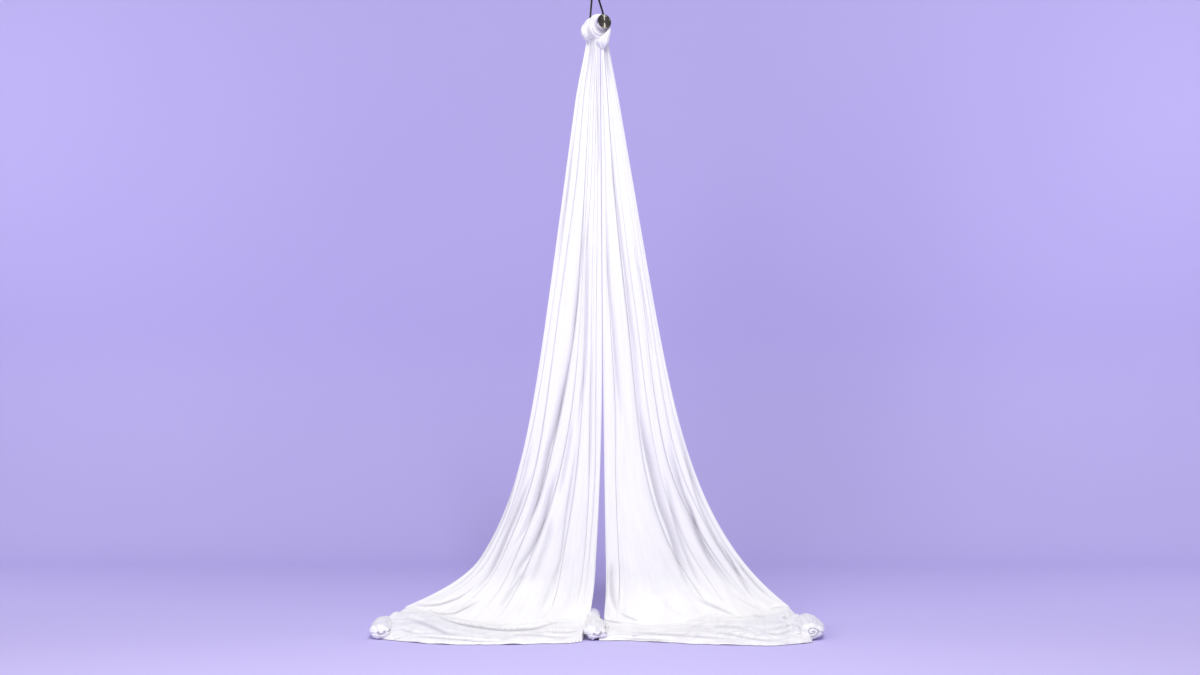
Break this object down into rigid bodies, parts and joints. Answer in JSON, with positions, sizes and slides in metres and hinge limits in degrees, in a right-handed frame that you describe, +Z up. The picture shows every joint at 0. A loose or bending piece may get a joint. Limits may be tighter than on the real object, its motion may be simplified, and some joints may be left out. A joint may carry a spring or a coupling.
{
  "type": "aerial silks",
  "caption": "White aerial silks hitched round a crossbar in a bent steel bail, hung from a ball-bearing swivel, with both tails falling to the floor.",
  "frame": {"origin": "centre of the anchor eye's hole, from which everything hangs", "axes": "+Z up, -Y towards the side that the picture is taken from, +X to its right"},
  "size_m": [2.1455, 0.852, 3.2961],
  "materials": {
    "forged_steel": "satin",
    "turned_steel": "polished",
    "rod_steel": "satin",
    "bearing_steel": "polished",
    "cage_brass": "satin",
    "screw_steel": "satin",
    "seal_rubber": "matte",
    "white_tricot": "satin"
  },
  "bodies": {
    "anchor": {"anchor_eye": "forged_steel", "stem_nut": "bearing_steel", "nut_pin": "screw_steel", "lower_race": "bearing_steel", "bearing_cage": "cage_brass", "bearing_ball_1": "bearing_steel", "bearing_ball_2": "bearing_steel", "bearing_ball_3": "bearing_steel", "bearing_ball_4": "bearing_steel", "bearing_ball_5": "bearing_steel", "bearing_ball_6": "bearing_steel", "bearing_ball_7": "bearing_steel", "bearing_ball_8": "bearing_steel", "bearing_ball_9": "bearing_steel"},
    "swivel": {"swivel_housing": "turned_steel", "upper_race": "bearing_steel", "stem_seal": "seal_rubber", "housing_screw_1": "screw_steel", "housing_screw_2": "screw_steel", "housing_screw_3": "screw_steel", "swivel_fork": "forged_steel", "fork_pin": "turned_steel", "pin_ring": "screw_steel"},
    "bail": {"bail": "rod_steel", "front_cap": "turned_steel", "back_cap": "turned_steel", "front_foot_screw": "screw_steel", "back_foot_screw": "screw_steel", "crossbar": "turned_steel", "tie_rod": "forged_steel", "silk_hitch": "white_tricot"},
    "left_tail": {"left_tail": "white_tricot"},
    "right_tail": {"right_tail": "white_tricot"}
  },
  "joints": [
    {"name": "swivel_spin", "type": "hinge", "parent": "anchor", "child": "swivel", "pos_m": [0, 0, 0], "axis": [0, 0, 1], "continuous": true},
    {"name": "bail_rock", "type": "hinge", "parent": "swivel", "child": "bail", "pos_m": [0, 0, -0.1158], "axis": [0.891, 0.454, 0], "range_deg": [-15, 25]},
    {"name": "left_tail_swing", "type": "hinge", "parent": "bail", "child": "left_tail", "pos_m": [0.0149, -0.02024, -0.32893], "axis": [0, 1, 0], "range_deg": [0, 12]},
    {"name": "right_tail_swing", "type": "hinge", "parent": "bail", "child": "right_tail", "pos_m": [0.0149, -0.02024, -0.32893], "axis": [0, -1, 0], "range_deg": [0, 12]}
  ]
}
